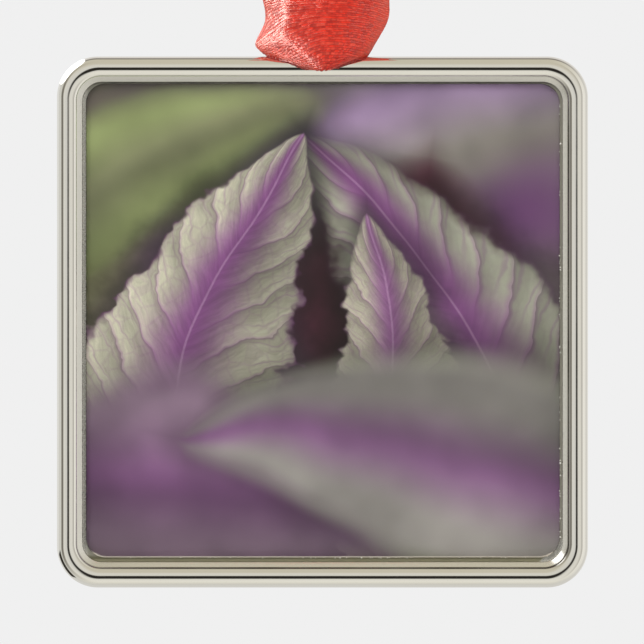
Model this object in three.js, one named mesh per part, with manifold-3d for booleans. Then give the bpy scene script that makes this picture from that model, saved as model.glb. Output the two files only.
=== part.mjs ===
// Square metal photo ornament, hung from a ribbon.
//
// A cast and plated frame is a shallow tray: a round bead, a step and a bevelled lip surround a window,
// which holds a printed panel under a clear cover. A ribbon runs through a slot in the top rim, and its
// two legs are knotted together above the frame.
//
// Millimetres, +Z up, printed side facing -Y. The origin is the top of the ribbon's loop, just under the
// knot, where a hook or a twig carries the ornament.

import * as THREE from 'three';
import Module from 'manifold-3d';
import { mergeVertices } from 'three/addons/utils/BufferGeometryUtils.js';

// Frame. Distances "inward" run from the outer edge towards the middle of the square.
const FRAME_SIDE = 70;
const FRAME_DEPTH = 4;
const OUTER_CORNER_RADIUS = 5.4;
const WINDOW_CORNER_RADIUS = 2.6;
const BEAD_RADIUS = 1.5;
const BEAD_WIDTH = 2.55;          // inward, to the step beside the bead
const STEP_DROP = 0.13;
const RIM_WIDTH = 3.35;           // inward, to the window
const LIP_DROP = 0.7;             // fall of the bevelled lip, from the step to the window
const BASE_THICKNESS = 1.4;       // plate behind the printed panel
const BACK_ROUND_WIDTH = 2.4;     // the back edge's rounding, inward
const BACK_ROUND_DEPTH = 2.4;     // and along the side

// Slot for the ribbon, through the rim from front to back at the middle of the top edge
const SLOT_WIDTH = 3;
const SLOT_HEIGHT = 1.1;
const SLOT_INSET = 1.34;          // inward, to the slot's centre line

// Printed panel and clear cover: cut alike, a little smaller than the window, and set a touch off its centre
const PANEL_SIDE = 62.5;
const PANEL_THICKNESS = 0.3;
const PANEL_SHIFT_X = 0.05;
const PANEL_SHIFT_Z = 0.2;
const COVER_THICKNESS = 1.1;
const COVER_EDGE_ROUND = 0.35;

// Ribbon
const LOOP_HEIGHT = 90;           // slot centre to the top of the loop
const WRAP_RADIUS = 2.7;          // the knot's wraps: middle of the wrap to the knot's axis
const WRAP_THICKNESS = 2.2;
const WRAP_HEIGHT = 5;
const WRAP_FLATNESS = 0.78;       // the knot's depth over its width
const WRAP_TILT = 0.38;           // radians, one wrap each way
const KNOT_RISE = 3.4;            // top of the loop to the middle of the knot
const BACK_LEG_NARROWING = 0.94;  // the back leg's width over the front leg's

// How finely round shapes are divided
const CORNER_STEPS = 8;           // half of the chords in one corner
const BEAD_STEPS = 14;
const BACK_STEPS = 6;
const COVER_STEPS = 4;
const SLOT_STEPS = 8;
const ROWS_PER_GUIDE_SPAN = 4;    // ribbon cross-sections between two guide points
const RIBBON_STRIPS = 8;          // facets across the ribbon
const WRAP_TUBE_STEPS = 12;
const WRAP_RING_STEPS = 28;

const FRONT_Y = -FRAME_DEPTH / 2;
const BACK_Y = FRAME_DEPTH / 2;
const HALF_SIDE = FRAME_SIDE / 2;
const PANEL_BACK_Y = BACK_Y - BASE_THICKNESS;
const COVER_BACK_Y = PANEL_BACK_Y - PANEL_THICKNESS;
const COVER_FRONT_Y = COVER_BACK_Y - COVER_THICKNESS;
const PANEL_INSET = (FRAME_SIDE - PANEL_SIDE) / 2;

// The ribbon's front leg, as lines along its left edge, its middle and its right edge, from the middle of
// the slot to the end of the tail. Heights are above the slot's centre line. Each row is one station:
// [left edge], [middle], [right edge], thickness of the bunched or open cloth.
const FRONT_LEG = [
  [[-1.2, 0.3, 0], [0, 0.3, 0], [1.2, 0.3, 0], 0.6],
  [[-1.2, -1.2, 0], [0, -1.2, -0.02], [1.2, -1.2, 0], 0.6],
  [[-1.3, -2.3, -0.05], [-0.1, -2.5, -0.2], [1.2, -2.3, 0], 0.6],
  [[-2.45, -2.8, 0.2], [-0.1, -3.6, -0.15], [2.45, -2.75, 0.45], 0.55],
  [[-4.55, -2.7, 0.95], [-0.15, -4.5, 0.7], [4.15, -2.6, 1.05], 0.5],
  [[-7.05, -2.4, 1.85], [-0.25, -5.1, 2.3], [5.85, -2.3, 1.5], 0.5],
  [[-8.85, -2, 3], [-0.25, -5.6, 4.2], [7.15, -1.9, 3.5], 0.5],
  [[-7.65, -1.9, 6.3], [-0.05, -6, 7.4], [8.55, -2, 6.4], 0.5],
  [[-8.15, -2.8, 10], [0.1, -6.4, 11], [8.65, -2.8, 10], 0.5],
  [[-9.7, -4.9, 20], [0, -7, 20.6], [9.6, -4.9, 20], 0.5],
  [[-10.1, -5.6, 38], [0, -7.2, 38.4], [10.1, -5.6, 38], 0.5],
  [[-9.4, -4.9, 57], [0, -6.2, 57], [9.5, -4.9, 57], 0.5],
  [[-6.8, -3.1, 74], [0, -4.1, 73.6], [6.9, -3.1, 74], 0.6],
  [[-3.4, -1.4, 85], [0, -2.1, 84.6], [3.5, -1.4, 85], 0.9],
  [[-1.9, -0.45, 90.8], [0, -0.5, 90.6], [1.9, -0.45, 90.8], 1.3],
  [[-1.8, -0.35, 94], [0, -0.4, 94], [1.8, -0.35, 94], 1.4],
  [[-2.6, -0.6, 97.6], [-0.4, -0.8, 97.4], [1.8, -0.6, 97.6], 1.2],
  [[-7, -2.8, 103], [-2.2, -4, 103.2], [2.6, -2.8, 103.4], 0.5],
  [[-11, -5.6, 110], [-3.6, -7.2, 111.4], [3.6, -5.6, 112.6], 0.5],
];
const CURL_ANGLE = 1.15;          // radians, half of the arc that a cross-section bends through

const wasm = await Module();
wasm.setup();

// ---- Solids and booleans ----

function toSolid(geometry) {
  const bare = geometry.clone();
  bare.deleteAttribute('normal');
  bare.deleteAttribute('uv');
  const merged = mergeVertices(bare);
  return new wasm.Manifold(new wasm.Mesh({
    numProp: 3,
    vertProperties: new Float32Array(merged.attributes.position.array),
    triVerts: new Uint32Array(merged.index.array),
  }));
}

function toGeometry(solid) {
  const mesh = solid.getMesh();
  const geometry = new THREE.BufferGeometry();
  geometry.setAttribute('position', new THREE.BufferAttribute(new Float32Array(mesh.vertProperties), 3));
  geometry.setIndex(new THREE.BufferAttribute(new Uint32Array(mesh.triVerts), 1));
  geometry.computeVertexNormals();
  return geometry;
}

function indexedGeometry(points, triangles) {
  const geometry = new THREE.BufferGeometry().setFromPoints(points);
  geometry.setIndex(triangles);
  geometry.computeVertexNormals();
  return geometry;
}

// Triangles of the walls between closed rings of equal length, which follow one another in a point list
function wallTriangles(ringCount, ringLength) {
  const triangles = [];
  for (let ring = 0; ring < ringCount - 1; ring += 1) {
    for (let i = 0; i < ringLength; i += 1) {
      const next = (i + 1) % ringLength;
      const a = ring * ringLength + i;
      const b = ring * ringLength + next;
      const c = a + ringLength;
      const d = b + ringLength;
      triangles.push(a, b, d, a, d, c);
    }
  }
  return triangles;
}

// ---- Square pieces: stacks of rounded-square rings, from the back to the front ----

// One ring, listed so that a stack running towards -Y has its walls facing out
function squareRing(inset, y) {
  const half = HALF_SIDE - inset;
  const shrink = Math.min(inset / RIM_WIDTH, 1);
  const radius = THREE.MathUtils.lerp(OUTER_CORNER_RADIUS, WINDOW_CORNER_RADIUS, shrink);
  const outline = new THREE.Shape();
  const corner = half - radius;
  outline.absarc(corner, corner, radius, 0, Math.PI / 2);
  outline.absarc(-corner, corner, radius, Math.PI / 2, Math.PI);
  outline.absarc(-corner, -corner, radius, Math.PI, 1.5 * Math.PI);
  outline.absarc(corner, -corner, radius, 1.5 * Math.PI, 2 * Math.PI);
  return outline.getPoints(CORNER_STEPS).map((p) => new THREE.Vector3(p.x, y, p.y));
}

// A closed solid from a list of [inset, y] stations, with a flat face on its first and last ring
function squareSolid(stations) {
  const rings = stations.map(([inset, y]) => squareRing(inset, y));
  const ringLength = rings[0].length;
  const points = rings.flat();
  const triangles = wallTriangles(rings.length, ringLength);
  const first = points.push(new THREE.Vector3(0, stations[0][1], 0)) - 1;
  const last = points.push(new THREE.Vector3(0, stations.at(-1)[1], 0)) - 1;
  const lastRing = (rings.length - 1) * ringLength;
  for (let i = 0; i < ringLength; i += 1) {
    const next = (i + 1) % ringLength;
    triangles.push(first, next, i);
    triangles.push(last, lastRing + i, lastRing + next);
  }
  return indexedGeometry(points, triangles);
}

// The frame's section from the flat back, round the side, over the bead and down into the recess
function frameStations() {
  const stations = [];
  for (let i = 0; i <= BACK_STEPS; i += 1) {
    const angle = (i / BACK_STEPS) * (Math.PI / 2);
    const inset = BACK_ROUND_WIDTH * (1 - Math.sin(angle));
    stations.push([inset, BACK_Y - BACK_ROUND_DEPTH * (1 - Math.cos(angle))]);
  }
  const beadEnd = Math.asin((BEAD_WIDTH - BEAD_RADIUS) / BEAD_RADIUS);
  for (let i = 0; i <= BEAD_STEPS; i += 1) {
    const angle = THREE.MathUtils.lerp(-Math.PI / 2, beadEnd, i / BEAD_STEPS);
    const inset = BEAD_RADIUS * (1 + Math.sin(angle));
    stations.push([inset, FRONT_Y + BEAD_RADIUS * (1 - Math.cos(angle))]);
  }
  const stepY = stations.at(-1)[1] + STEP_DROP;
  stations.push([BEAD_WIDTH, stepY]);
  stations.push([RIM_WIDTH, stepY + LIP_DROP]);
  stations.push([RIM_WIDTH, PANEL_BACK_Y]);
  return stations;
}

function slotGeometry() {
  const outline = new THREE.Shape();
  const end = SLOT_HEIGHT / 2;
  const reach = SLOT_WIDTH / 2 - end;
  outline.absarc(reach, 0, end, -Math.PI / 2, Math.PI / 2);
  outline.absarc(-reach, 0, end, Math.PI / 2, 1.5 * Math.PI);
  const depth = 2 * FRAME_DEPTH;
  const options = { depth, bevelEnabled: false, curveSegments: SLOT_STEPS };
  const geometry = new THREE.ExtrudeGeometry(outline, options);
  geometry.translate(0, 0, -depth / 2);
  geometry.rotateX(Math.PI / 2);
  geometry.translate(0, 0, HALF_SIDE - SLOT_INSET);
  return geometry;
}

function frameGeometry() {
  const tray = toSolid(squareSolid(frameStations()));
  return toGeometry(tray.subtract(toSolid(slotGeometry())));
}

function panelGeometry() {
  return squareSolid([[PANEL_INSET, PANEL_BACK_Y], [PANEL_INSET, COVER_BACK_Y]]);
}

// The cover lies on the print, and its front edge is rounded
function coverGeometry() {
  const stations = [[PANEL_INSET, COVER_BACK_Y]];
  for (let i = 0; i <= COVER_STEPS; i += 1) {
    const angle = (i / COVER_STEPS) * (Math.PI / 2);
    const y = COVER_FRONT_Y + COVER_EDGE_ROUND * (1 - Math.sin(angle));
    stations.push([PANEL_INSET + COVER_EDGE_ROUND * (1 - Math.cos(angle)), y]);
  }
  return squareSolid(stations);
}

// ---- Ribbon ----

// A line through the stations' points, read at a station number that may lie between two stations
function guideLine(points) {
  const curve = new THREE.CatmullRomCurve3(points.map((p) => new THREE.Vector3(...p)), false, 'centripetal');
  return (station) => curve.getPoint(station / (points.length - 1));
}

// The back leg mirrors the front one, a little narrower, up to the knot. Its tail turns the other way.
function backLeg() {
  return FRONT_LEG.map(([left, middle, right, thickness]) => {
    if (middle[2] > LOOP_HEIGHT + KNOT_RISE) {
      const turned = [right, middle, left].map(([x, y, z]) => [-x, -y, z]);
      return [...turned, thickness];
    }
    const mirrored = [left, middle, right].map(([x, y, z]) => [x * BACK_LEG_NARROWING, -y, z]);
    return [...mirrored, thickness];
  });
}

function thicknessAt(stations, station) {
  const lower = Math.min(Math.floor(station), stations.length - 2);
  return THREE.MathUtils.lerp(stations[lower][3], stations[lower + 1][3], station - lower);
}

// Points across the cloth at each station: an arc from the left edge, past the middle, to the right edge
function ribbonRows(stations) {
  const guides = [0, 1, 2].map((column) => guideLine(stations.map((station) => station[column])));
  const rowCount = (stations.length - 1) * ROWS_PER_GUIDE_SPAN + 1;
  const rows = [];
  for (let row = 0; row < rowCount; row += 1) {
    const station = row / ROWS_PER_GUIDE_SPAN;
    const [left, middle, right] = guides.map((guide) => guide(station));
    const centre = left.clone().lerp(right, 0.5);
    const halfChord = right.clone().sub(centre);
    const crown = middle.clone().sub(centre);
    const points = [];
    for (let strip = 0; strip <= RIBBON_STRIPS; strip += 1) {
      const angle = THREE.MathUtils.lerp(-CURL_ANGLE, CURL_ANGLE, strip / RIBBON_STRIPS);
      const across = Math.sin(angle) / Math.sin(CURL_ANGLE);
      const forward = (Math.cos(angle) - Math.cos(CURL_ANGLE)) / (1 - Math.cos(CURL_ANGLE));
      points.push(centre.clone().addScaledVector(halfChord, across).addScaledVector(crown, forward));
    }
    rows.push({ points, thickness: thicknessAt(stations, station) });
  }
  return rows;
}

// The cloth's normal at one point of a row, from its neighbours along and across the ribbon
function clothNormal(rows, row, column) {
  const lastRow = rows.length - 1;
  const after = rows[Math.min(row + 1, lastRow)].points[column];
  const before = rows[Math.max(row - 1, 0)].points[column];
  const right = rows[row].points[Math.min(column + 1, RIBBON_STRIPS)];
  const left = rows[row].points[Math.max(column - 1, 0)];
  const along = after.clone().sub(before);
  const across = right.clone().sub(left);
  return across.cross(along).normalize();
}

// One leg and its tail, as a closed band of the rows' thickness
function legGeometry(stations) {
  const rows = ribbonRows(stations);
  const columns = RIBBON_STRIPS + 1;
  const ringLength = 2 * columns;
  const points = [];
  rows.forEach(({ points: line, thickness }, row) => {
    const offsets = line.map((_, column) => clothNormal(rows, row, column).multiplyScalar(thickness / 2));
    line.forEach((p, column) => points.push(p.clone().add(offsets[column])));
    for (let column = columns - 1; column >= 0; column -= 1) {
      points.push(line[column].clone().sub(offsets[column]));
    }
  });
  const triangles = wallTriangles(rows.length, ringLength);
  const lastRing = (rows.length - 1) * ringLength;
  for (let column = 0; column < RIBBON_STRIPS; column += 1) {
    const inner = ringLength - 1 - column;
    triangles.push(column, inner, inner - 1, column, inner - 1, column + 1);
    const end = lastRing + column;
    const endInner = lastRing + inner;
    triangles.push(end, endInner - 1, endInner, end, end + 1, endInner - 1);
  }
  return indexedGeometry(points, triangles);
}

// One flattened turn of cloth round the knot
function wrapGeometry(tilt) {
  const tube = WRAP_THICKNESS / 2;
  const geometry = new THREE.TorusGeometry(WRAP_RADIUS, tube, WRAP_TUBE_STEPS, WRAP_RING_STEPS);
  geometry.scale(1, WRAP_FLATNESS, WRAP_HEIGHT / WRAP_THICKNESS);
  geometry.rotateY(tilt);
  geometry.translate(0, 0, LOOP_HEIGHT + KNOT_RISE);
  return geometry;
}

// The bunched cloth inside the wraps
function knotCoreGeometry() {
  const geometry = new THREE.SphereGeometry(WRAP_RADIUS, WRAP_RING_STEPS, WRAP_TUBE_STEPS);
  geometry.scale(1, WRAP_FLATNESS, 1);
  geometry.translate(0, 0, LOOP_HEIGHT + KNOT_RISE);
  return geometry;
}

function ribbonGeometry() {
  const legs = [legGeometry(FRONT_LEG), legGeometry(backLeg())];
  const pieces = [...legs, knotCoreGeometry(), wrapGeometry(WRAP_TILT), wrapGeometry(-WRAP_TILT)];
  return toGeometry(wasm.Manifold.union(pieces.map(toSolid)));
}

// ---- Materials and the assembled ornament ----

const platedMetal = new THREE.MeshStandardMaterial({ color: 0xd6d2c4, roughness: 0.08, metalness: 1 });
const printedSheet = new THREE.MeshStandardMaterial({ color: 0x84757f, roughness: 0.6, metalness: 0 });
const clearResin = new THREE.MeshStandardMaterial({
  color: 0xf4f6f5, roughness: 0.05, metalness: 0, transparent: true, opacity: 0.15,
});
const redCloth = new THREE.MeshStandardMaterial({ color: 0xd23a30, roughness: 0.45, metalness: 0 });

function namedMesh(name, geometry, material) {
  const mesh = new THREE.Mesh(geometry, material);
  mesh.name = name;
  return mesh;
}

const picture = new THREE.Group();
picture.position.set(PANEL_SHIFT_X, 0, PANEL_SHIFT_Z);
picture.add(
  namedMesh('printed_panel', panelGeometry(), printedSheet),
  namedMesh('clear_cover', coverGeometry(), clearResin),
);

const pendant = new THREE.Group();
pendant.position.z = -LOOP_HEIGHT - (HALF_SIDE - SLOT_INSET);
pendant.add(namedMesh('frame', frameGeometry(), platedMetal), picture);

const hanger = new THREE.Group();
hanger.position.z = -LOOP_HEIGHT;
hanger.add(namedMesh('ribbon', ribbonGeometry(), redCloth));

const ornament = new THREE.Group();
ornament.add(pendant, hanger);

export default ornament;
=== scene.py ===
import math

import bmesh
import bpy
import mathutils
import numpy as np
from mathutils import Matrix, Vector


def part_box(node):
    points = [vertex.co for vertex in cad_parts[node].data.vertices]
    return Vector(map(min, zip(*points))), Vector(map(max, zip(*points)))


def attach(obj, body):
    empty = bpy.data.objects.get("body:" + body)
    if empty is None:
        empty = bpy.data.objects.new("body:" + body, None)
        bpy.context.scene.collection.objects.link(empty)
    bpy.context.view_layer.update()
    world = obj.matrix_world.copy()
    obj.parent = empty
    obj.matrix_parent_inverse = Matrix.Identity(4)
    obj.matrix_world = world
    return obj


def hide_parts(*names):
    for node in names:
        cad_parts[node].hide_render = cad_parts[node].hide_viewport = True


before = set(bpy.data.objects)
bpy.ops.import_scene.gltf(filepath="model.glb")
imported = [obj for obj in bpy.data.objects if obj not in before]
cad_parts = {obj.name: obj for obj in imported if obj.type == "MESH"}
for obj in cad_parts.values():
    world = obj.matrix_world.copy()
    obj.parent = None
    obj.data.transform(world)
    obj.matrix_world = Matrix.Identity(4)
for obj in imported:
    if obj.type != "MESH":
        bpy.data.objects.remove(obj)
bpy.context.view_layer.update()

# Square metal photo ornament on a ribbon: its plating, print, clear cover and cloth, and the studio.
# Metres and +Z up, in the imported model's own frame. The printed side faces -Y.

MM = 0.001
SCENE = bpy.context.scene

# ---- Sizes, repeated from the part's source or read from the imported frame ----

frame_low, frame_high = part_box("frame")
panel_low, panel_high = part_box("printed_panel")
cover_low, cover_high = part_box("clear_cover")

MIDDLE_Z = (frame_low[2] + frame_high[2]) / 2
HALF_SIDE = (frame_high[0] - frame_low[0]) / 2
FRONT_Y = frame_low[1]
BACK_Y = frame_high[1]
RECESS_Y = panel_high[1]
OUTER_CORNER_RADIUS = 5.4 * MM
WINDOW_CORNER_RADIUS = 2.6 * MM
BEAD_RADIUS = 1.5 * MM
BEAD_WIDTH = 2.55 * MM
STEP_DROP = 0.13 * MM
STEP_SLANT = 0.08 * MM  # how far the step beside the lip leans inward
RIM_WIDTH = 3.35 * MM
LIP_DROP = 0.63 * MM
STEP_ROUND = 0.03 * MM
LIP_ROUND = 0.12 * MM
RECESS_ROUND = 0.06 * MM
RECESS_REACH = 1 * MM  # how far the recess floor's edge runs in under the print
BACK_SUPPORT = 0.1 * MM  # flat back beyond the rounding, which keeps its shading flat
BACK_ROUND_WIDTH = 2.4 * MM
BACK_ROUND_DEPTH = 2.4 * MM
SLOT_WIDTH = 3 * MM
SLOT_HEIGHT = 1.1 * MM
SLOT_INSET = 1.34 * MM
SLOT_Z = frame_high[2] - SLOT_INSET
COVER_EDGE_ROUND = 0.35 * MM
COVER_CORNER_RADIUS = 2.6 * MM
COVER_GAP = 0.02 * MM  # air between the cover's back and the print

CORNER_CHORDS = 40  # in each of the frame's corners
BEAD_STEPS = 44
BACK_STEPS = 12
LIP_STEPS = 12
LIP_CURVE = 0.08  # how much of the lip's fall comes late, towards the window

# The ribbon's front leg, in millimetres from the slot's centre: left edge, middle, right edge
RIBBON_STATIONS = [
    [(-1.2, 0, 0), (0, 0, 0), (1.2, 0, 0)],
    [(-1.2, -1.2, 0), (0, -1.2, -0.02), (1.2, -1.2, 0)],
    [(-1.3, -2.3, -0.3), (-0.1, -2.5, -0.45), (1.2, -2.3, -0.25)],
    [(-2.45, -2.6, -0.1), (-0.1, -3.8, -0.4), (2.45, -2.6, 0.2)],
    [(-4.55, -2.2, 0.8), (-0.15, -4.5, 0.55), (4.15, -2.2, 0.95)],
    [(-7.5, -0.9, 1.75), (-0.25, -5, 2.3), (5.85, -0.9, 1.5)],
    [(-8.85, -0.5, 2.85), (-0.25, -5.4, 4.2), (7.15, -0.5, 3.5)],
    [(-7.65, -0.9, 6.3), (-0.05, -5.8, 7.4), (8.55, -0.9, 6.4)],
    [(-8.15, -2.8, 10), (0.1, -6.4, 11), (8.65, -2.8, 10)],
    [(-9.7, -4.9, 20), (0, -7, 20.6), (9.6, -4.9, 20)],
    [(-10.1, -5.6, 38), (0, -7.2, 38.4), (10.1, -5.6, 38)],
    [(-9.4, -4.9, 57), (0, -6.2, 57), (9.5, -4.9, 57)],
    [(-6.8, -3.1, 74), (0, -4.1, 73.6), (6.9, -3.1, 74)],
    [(-3.4, -1.4, 85), (0, -2.1, 84.6), (3.5, -1.4, 85)],
    [(-1.9, -0.45, 90.8), (0, -0.5, 90.6), (1.9, -0.45, 90.8)],
    [(-1.8, -0.35, 94), (0, -0.4, 94), (1.8, -0.35, 94)],
    [(-2.6, -0.6, 97.6), (-0.4, -0.8, 97.4), (1.8, -0.6, 97.6)],
    [(-7, -2.8, 103), (-2.2, -4, 103.2), (2.6, -2.8, 103.4)],
    [(-11, -5.6, 110), (-3.6, -7.2, 111.4), (3.6, -5.6, 112.6)],
]
BACK_LEG_NARROWING = 0.94
CURL_ANGLE = 1.15  # radians, half of the arc that a cross-section bends through
RIBBON_WIDTH = 20 * MM
LOOP_HEIGHT = 90  # millimetres, slot centre to the knot's foot
KNOT_RISE = 3.4  # millimetres, from there to the knot's middle

# ---- View ----

FIELD_WIDTH = 84.95 * MM  # what the picture's width covers at the ornament
VIEW_X = -0.06 * MM
CAMERA_DISTANCE = 1.0
SENSOR_WIDTH = 36  # millimetres
BACKDROP = (0.871, 0.871, 0.871)  # linear


def make_camera():
    data = bpy.data.cameras.new("camera")
    data.sensor_width = SENSOR_WIDTH
    data.lens = SENSOR_WIDTH * CAMERA_DISTANCE / FIELD_WIDTH
    data.clip_start = 0.01
    data.clip_end = 20
    camera = bpy.data.objects.new("camera", data)
    camera.location = (VIEW_X, -CAMERA_DISTANCE, MIDDLE_Z)
    camera.rotation_euler = (math.pi / 2, 0, 0)
    SCENE.collection.objects.link(camera)
    SCENE.camera = camera


make_camera()


# ---- Node helpers ----

def linear(red, green, blue):
    """A colour given in 0-255 display values, as linear RGBA."""
    def one(value):
        value /= 255
        return value / 12.92 if value <= 0.04045 else ((value + 0.055) / 1.055) ** 2.4
    return (one(red), one(green), one(blue), 1)


class Value:
    """What a node puts out. Arithmetic on it adds Math nodes."""

    def __init__(self, graph, socket):
        self.graph = graph
        self.socket = socket

    def __add__(self, other):
        return self.graph.math("ADD", self, other)

    def __sub__(self, other):
        return self.graph.math("SUBTRACT", self, other)

    def __rsub__(self, other):
        return self.graph.math("SUBTRACT", other, self)

    def __mul__(self, other):
        return self.graph.math("MULTIPLY", self, other)

    def __truediv__(self, other):
        return self.graph.math("DIVIDE", self, other)

    def __pow__(self, other):
        return self.graph.math("POWER", self, other)

    def __abs__(self):
        return self.graph.math("ABSOLUTE", self)

    def times_plus(self, factor, addend):
        return self.graph.math("MULTIPLY_ADD", self, factor, addend)


class Graph:
    """Adds nodes to one node tree. Their inputs are Values, or plain numbers, vectors and colours."""

    def __init__(self, tree):
        self.tree = tree

    def node(self, kind, given=(), **settings):
        """A node, by its type without ShaderNode, with these settings and these inputs by name or number."""
        made = self.tree.nodes.new(kind if kind.startswith("Node") else "ShaderNode" + kind)
        for name, value in settings.items():
            setattr(made, name, value)
        for key, value in dict(given).items():
            if isinstance(value, Value):
                self.tree.links.new(value.socket, made.inputs[key])
            elif value is not None:
                made.inputs[key].default_value = value
        return made

    def outputs(self, kind, given=(), **settings):
        return {socket.name: Value(self, socket) for socket in self.node(kind, given, **settings).outputs}

    def get(self, kind, given=(), output=0, **settings):
        return Value(self, self.node(kind, given, **settings).outputs[output])

    def math(self, operation, *values):
        return self.get("Math", enumerate(values), operation=operation)

    def vector(self, operation, *values):
        output = "Value" if operation in {"DOT_PRODUCT", "LENGTH"} else "Vector"
        return self.get("VectorMath", enumerate(values), output, operation=operation)

    def scaled(self, vector, factor):
        return self.get("VectorMath", {0: vector, "Scale": factor}, operation="SCALE")

    def combine(self, *values):
        return self.get("CombineXYZ", enumerate(values))

    def separate(self, vector):
        return list(self.outputs("SeparateXYZ", {0: vector}).values())

    def smooth(self, value, low, high, to_low=0.0, to_high=1.0):
        """A smooth step from to_low to to_high as the value goes from low to high."""
        values = enumerate((value, low, high, to_low, to_high))
        return self.get("MapRange", values, interpolation_type="SMOOTHSTEP")

    def mix(self, factor, a, b):
        return self.get("Mix", {"Factor": factor, "A": a, "B": b}, "Result", data_type="RGBA")

    def mix_shaders(self, factor, a, b):
        return self.get("MixShader", {0: factor, 1: a, 2: b})

    def ramp(self, factor, stops):
        made = self.node("ValToRGB", {0: factor})
        elements = made.color_ramp.elements
        while len(elements) < len(stops):
            elements.new(0.5)
        for element, (position, colour) in zip(elements, stops):
            element.position = position
            element.color = colour
        return Value(self, made.outputs[0])

    def noise(self, vector, scale, detail=2.0, roughness=0.5):
        given = {"Vector": vector, "Scale": scale, "Detail": detail, "Roughness": roughness}
        return self.get("TexNoise", given)

    def bump(self, height, distance, normal=None):
        given = {"Strength": 1.0, "Distance": distance, "Height": height, "Normal": normal}
        return self.get("Bump", given)

    def place(self):
        return self.get("TexCoord", output="Object")

    def attribute(self, name, output):
        return self.get("Attribute", output=output, attribute_name=name)


def new_material(name):
    material = bpy.data.materials.new(name)
    material.use_nodes = True
    material.node_tree.nodes.clear()
    return material, Graph(material.node_tree)


def principled(g, **values):
    """A Principled shader with these inputs, by socket name with spaces as underscores."""
    given = {name.replace("_", " "): value for name, value in values.items()}
    return g.get("BsdfPrincipled", given)


def finish_material(g, surface):
    g.node("OutputMaterial", {"Surface": surface})


# ---- Studio: backdrop, what the metal mirrors, floor and lamps ----

# What stands round the ornament: degrees from the line to the camera, and 0-255 colours. The beads mirror it
# as bands along their sides: a pale light tent, its darker seams, and the dark round the camera.
TENT_RIGHT = [
    (0, 214, 211, 202), (38, 216, 213, 203), (46, 200, 196, 187), (52, 186, 182, 173),
    (56, 172, 168, 159), (60, 180, 176, 168), (64, 232, 229, 220), (90, 230, 227, 218),
    (104, 214, 211, 203), (120, 205, 202, 195), (146, 228, 226, 220), (180, 228, 226, 220),
]
TENT_TOP = [
    (0, 212, 209, 198), (28, 210, 207, 196), (36, 200, 194, 178), (46, 196, 190, 171),
    (91, 196, 190, 171), (97, 146, 139, 127), (101, 110, 104, 95), (106, 116, 110, 101),
    (114, 172, 166, 158), (122, 216, 212, 206), (180, 226, 222, 216),
]
TENT_LEFT = [
    (0, 206, 204, 198), (30, 210, 208, 200), (42, 216, 214, 206), (48, 205, 202, 192),
    (53, 128, 124, 114), (58, 114, 110, 102), (68, 114, 110, 102), (74, 165, 162, 152),
    (79, 206, 205, 196), (90, 208, 207, 199), (101, 202, 200, 193), (116, 220, 219, 214),
    (180, 224, 222, 218),
]
TENT_BOTTOM = [
    (0, 208, 206, 196), (26, 208, 206, 196), (36, 220, 217, 206), (48, 226, 223, 212),
    (62, 224, 221, 208), (76, 213, 210, 199), (93, 204, 202, 194), (118, 208, 206, 200),
    (180, 210, 208, 202),
]
TENT_WALLS = [((1, 0), TENT_RIGHT), ((0, 1), TENT_TOP), ((-1, 0), TENT_LEFT), ((0, -1), TENT_BOTTOM)]
# Dark things before it, as rounded boxes in degrees to the right and up: middle, half size, turn, where the
# soft edge starts and ends, and colour
TENT_DARKS = [
    ((0, -11), (2, 6), 0, 4, 13, (40, 38, 34)),
    ((-87, -52), (12, 32), 31, 3, 9, (52, 50, 43)),
]
# The bright window at the upper left, which gives the corners their glints
WINDOW_ANGLE = 121  # degrees from the camera's line to its middle
WINDOW_HALF = 50  # degrees either way along that angle
WINDOW_HALF_TURN = 24  # degrees either way round the camera's line
WINDOW_EDGE = (1.06, 0.94)  # of its half sizes, where it starts and where it is full
WINDOW_LIGHT = (2.6, 2.58, 2.52, 1)

# Lights that only the ribbon's satin shines with: place, size and power
SATIN_LIGHTS = [
    ((-0.48, 0.02, -0.18), (0.26, 0.36), 11.5),
    ((-0.10, -0.03, -0.20), (0.10, 0.10), 0.75),
    ((0.45, 0.0, -0.26), (0.3, 0.3), 1.1),
]
SATIN_LIGHT_COLOUR = (1.0, 0.93, 0.84)

FLOOR_Z = MIDDLE_Z - 0.12
FLOOR_RADIUS = 0.8
FLOOR_STEPS = 96  # points round it
FLOOR_RINGS = 4


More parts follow.
